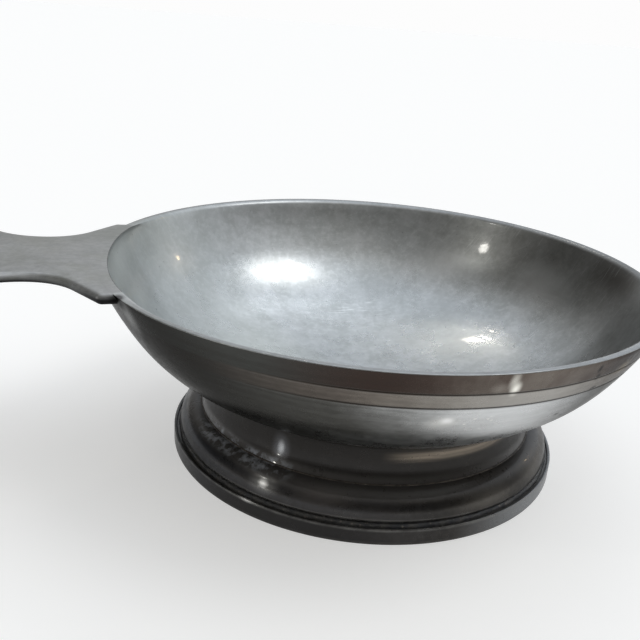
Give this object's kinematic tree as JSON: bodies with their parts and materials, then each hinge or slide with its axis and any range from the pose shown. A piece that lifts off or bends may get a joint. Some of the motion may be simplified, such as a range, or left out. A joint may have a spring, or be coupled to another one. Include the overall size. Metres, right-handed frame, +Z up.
{
  "type": "pewter snack dish",
  "caption": "Shallow round pewter dish on a moulded ring foot, with a flat shaped handle level with the rim, for serving nuts or sweets.",
  "frame": {"origin": "on the table plane, under the middle of the dish's length from handle tip to far rim", "axes": "+X from the handle's tip towards the bowl, +Z up"},
  "size_m": [0.1896, 0.14, 0.0499],
  "materials": {
    "worn_pewter": "turned pewter, worn to a satin grey",
    "cast_pewter": "cast pewter, filed flat and worn",
    "tarnished_pewter": "turned pewter with a dark tarnish",
    "dull_solder": "dull soft solder with dirt in it"
  },
  "bodies": {
    "root": {"bowl": "worn_pewter", "foot_collar": "tarnished_pewter", "foot_dome": "tarnished_pewter", "base_ring": "tarnished_pewter", "handle": "cast_pewter", "bowl_solder": "dull_solder", "collar_solder": "dull_solder", "ring_solder": "dull_solder", "handle_solder": "dull_solder"}
  },
  "joints": []
}
